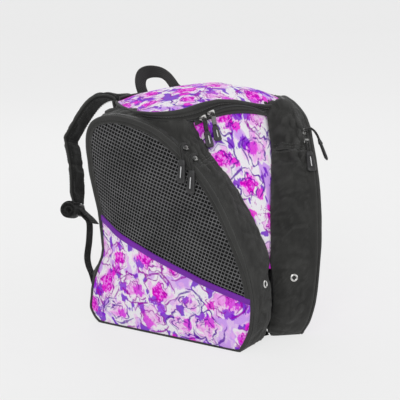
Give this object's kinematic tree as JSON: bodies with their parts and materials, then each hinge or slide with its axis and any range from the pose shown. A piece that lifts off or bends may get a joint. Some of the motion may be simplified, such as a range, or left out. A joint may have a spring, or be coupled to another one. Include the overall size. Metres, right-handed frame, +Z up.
{
  "type": "skate bag",
  "caption": "Free-standing skate rucksack: wedge centre compartment under a domed zip lid, splayed mesh and floral print skate pockets, padded shoulder straps and haul loop.",
  "frame": {"origin": "floor level on the bag's plane of symmetry, on the underside of the base panel", "axes": "+Z up; -Y out of the front V panel; +Y out of the back panel that rests on the wearer; +X to the right seen from the front"},
  "size_m": [0.397, 0.4291, 0.4181],
  "materials": {
    "black_fabric": "matt woven polyester",
    "print_fabric": "floral print woven polyester",
    "mesh_fabric": "open mesh over black lining",
    "purple_piping": "satin woven piping",
    "black_piping": "rolled fabric binding",
    "webbing": "ribbed webbing",
    "zip_coil": "nylon coil and tape",
    "nickel": "plated die-cast",
    "pull_rubber": "moulded satin",
    "buckle": "moulded acetal",
    "stiffener": "sheet",
    "foam": "closed-cell foam",
    "lining": "thin woven lining"
  },
  "bodies": {
    "shell": {"anchor_tabs": "webbing", "back_lining": "lining", "back_pad": "foam", "back_panel": "black_fabric", "back_rim": "black_fabric", "base_board": "stiffener", "base_panel": "black_fabric", "collar": "black_fabric", "front_panel": "print_fabric", "grommets": "nickel", "haul_loop_base": "webbing", "left_accent_piping": "purple_piping", "left_divider": "lining", "left_edge_piping": "black_piping", "left_gusset_front": "black_fabric", "left_gusset_top": "black_fabric", "left_mesh_panel": "mesh_fabric", "left_pocket_back": "black_fabric", "left_pocket_floor": "black_fabric", "left_pocket_zip": "zip_coil", "left_print_panel": "print_fabric", "lid_zip": "zip_coil", "right_accent_piping": "purple_piping", "right_divider": "lining", "right_edge_piping": "black_piping", "right_gusset_front": "black_fabric", "right_gusset_top": "black_fabric", "right_mesh_panel": "mesh_fabric", "right_pocket_back": "black_fabric", "right_pocket_floor": "black_fabric", "right_pocket_zip": "zip_coil", "right_print_panel": "print_fabric", "strap_roots": "webbing"},
    "lid": {"lid_panel": "print_fabric", "lid_band": "black_fabric"},
    "haul_loop": {"haul_loop": "webbing"},
    "left_flap": {"left_mesh_flap": "mesh_fabric", "left_flap_piping": "black_piping"},
    "left_slider_rear": {"left_slider_rear": "nickel"},
    "left_pull_rear": {"left_pull_rear": "pull_rubber"},
    "left_slider_front": {"left_slider_front": "nickel"},
    "left_pull_front": {"left_pull_front": "pull_rubber"},
    "left_strap": {"left_shoulder_pad": "black_fabric", "left_ladder_lock": "buckle", "left_strap_webbing": "webbing"},
    "left_tail": {"left_strap_tail": "webbing"},
    "right_flap": {"right_mesh_flap": "mesh_fabric", "right_flap_piping": "black_piping"},
    "right_slider_rear": {"right_slider_rear": "nickel"},
    "right_pull_rear": {"right_pull_rear": "pull_rubber"},
    "right_slider_front": {"right_slider_front": "nickel"},
    "right_pull_front": {"right_pull_front": "pull_rubber"},
    "right_strap": {"right_shoulder_pad": "black_fabric", "right_ladder_lock": "buckle", "right_strap_webbing": "webbing"},
    "right_tail": {"right_strap_tail": "webbing"},
    "lid_slider_left": {"lid_slider_left": "nickel"},
    "lid_pull_left": {"lid_pull_left": "pull_rubber"},
    "lid_slider_right": {"lid_slider_right": "nickel"},
    "lid_pull_right": {"lid_pull_right": "pull_rubber"}
  },
  "joints": [
    {"name": "lid_open", "type": "hinge", "parent": "shell", "child": "lid", "pos_m": [0, 0.184, 0.372], "axis": [-1, 0, 0], "range_deg": [0, 95]},
    {"name": "haul_loop_fold", "type": "hinge", "parent": "shell", "child": "haul_loop", "pos_m": [0, 0.199, 0.347], "axis": [-1, 0, 0], "range_deg": [-12, 50]},
    {"name": "left_flap_open", "type": "hinge", "parent": "shell", "child": "left_flap", "pos_m": [-0.19316, 0.14818, 0.3], "axis": [0.4167, -0.9055, 0.0799], "range_deg": [0, 75]},
    {"name": "left_slider_rear_travel", "type": "hinge", "parent": "shell", "child": "left_slider_rear", "pos_m": [-0.16683, 0.09095, 0.152], "axis": [-0.9084, -0.418, 0], "range_deg": [0, 49]},
    {"name": "left_pull_rear_swing", "type": "hinge", "parent": "left_slider_rear", "child": "left_pull_rear", "pos_m": [-0.10455, -0.0243, 0.31813], "axis": [-0.418, 0.9084, 0], "range_deg": [0, 100]},
    {"name": "left_slider_front_travel", "type": "hinge", "parent": "shell", "child": "left_slider_front", "pos_m": [-0.16683, 0.09095, 0.152], "axis": [-0.9084, -0.418, 0], "range_deg": [-4, 0]},
    {"name": "left_pull_front_swing", "type": "hinge", "parent": "left_slider_front", "child": "left_pull_front", "pos_m": [-0.09737, -0.0399, 0.30304], "axis": [-0.418, 0.9084, 0], "range_deg": [0, 100]},
    {"name": "left_strap_swing", "type": "hinge", "parent": "shell", "child": "left_strap", "pos_m": [-0.088, 0.206, 0.34], "axis": [0.271, 0.1232, 0.9547], "range_deg": [-25, 40]},
    {"name": "left_tail_swing", "type": "hinge", "parent": "left_strap", "child": "left_tail", "pos_m": [-0.16581, 0.22668, 0.17401], "axis": [0.7728, 0.5634, -0.2921], "range_deg": [-12, 8]},
    {"name": "right_flap_open", "type": "hinge", "parent": "shell", "child": "right_flap", "pos_m": [0.19316, 0.14818, 0.3], "axis": [0.4167, 0.9055, -0.0799], "range_deg": [0, 75]},
    {"name": "right_slider_rear_travel", "type": "hinge", "parent": "shell", "child": "right_slider_rear", "pos_m": [0.16683, 0.09095, 0.152], "axis": [-0.9084, 0.418, 0], "range_deg": [0, 49]},
    {"name": "right_pull_rear_swing", "type": "hinge", "parent": "right_slider_rear", "child": "right_pull_rear", "pos_m": [0.10455, -0.0243, 0.31813], "axis": [-0.418, -0.9084, 0], "range_deg": [0, 100]},
    {"name": "right_slider_front_travel", "type": "hinge", "parent": "shell", "child": "right_slider_front", "pos_m": [0.16683, 0.09095, 0.152], "axis": [-0.9084, 0.418, 0], "range_deg": [-4, 0]},
    {"name": "right_pull_front_swing", "type": "hinge", "parent": "right_slider_front", "child": "right_pull_front", "pos_m": [0.09737, -0.0399, 0.30304], "axis": [-0.418, -0.9084, 0], "range_deg": [0, 100]},
    {"name": "right_strap_swing", "type": "hinge", "parent": "shell", "child": "right_strap", "pos_m": [0.088, 0.206, 0.34], "axis": [0.271, -0.1232, -0.9547], "range_deg": [-25, 40]},
    {"name": "right_tail_swing", "type": "hinge", "parent": "right_strap", "child": "right_tail", "pos_m": [0.16581, 0.22668, 0.17401], "axis": [0.7728, -0.5634, 0.2921], "range_deg": [-12, 8]},
    {"name": "lid_slider_left_travel", "type": "hinge", "parent": "shell", "child": "lid_slider_left", "pos_m": [0, 0.004, 0.23918], "axis": [0, 1, 0], "range_deg": [-3.5, 0]},
    {"name": "lid_pull_left_swing", "type": "hinge", "parent": "lid_slider_left", "child": "lid_pull_left", "pos_m": [-0.05725, -0.001, 0.3507], "axis": [-1, 0, 0], "range_deg": [0, 100]},
    {"name": "lid_slider_right_travel", "type": "hinge", "parent": "shell", "child": "lid_slider_right", "pos_m": [0, 0.004, 0.23918], "axis": [0, 1, 0], "range_deg": [0, 47]},
    {"name": "lid_pull_right_swing", "type": "hinge", "parent": "lid_slider_right", "child": "lid_pull_right", "pos_m": [-0.04167, -0.001, 0.35744], "axis": [-1, 0, 0], "range_deg": [0, 100]}
  ]
}
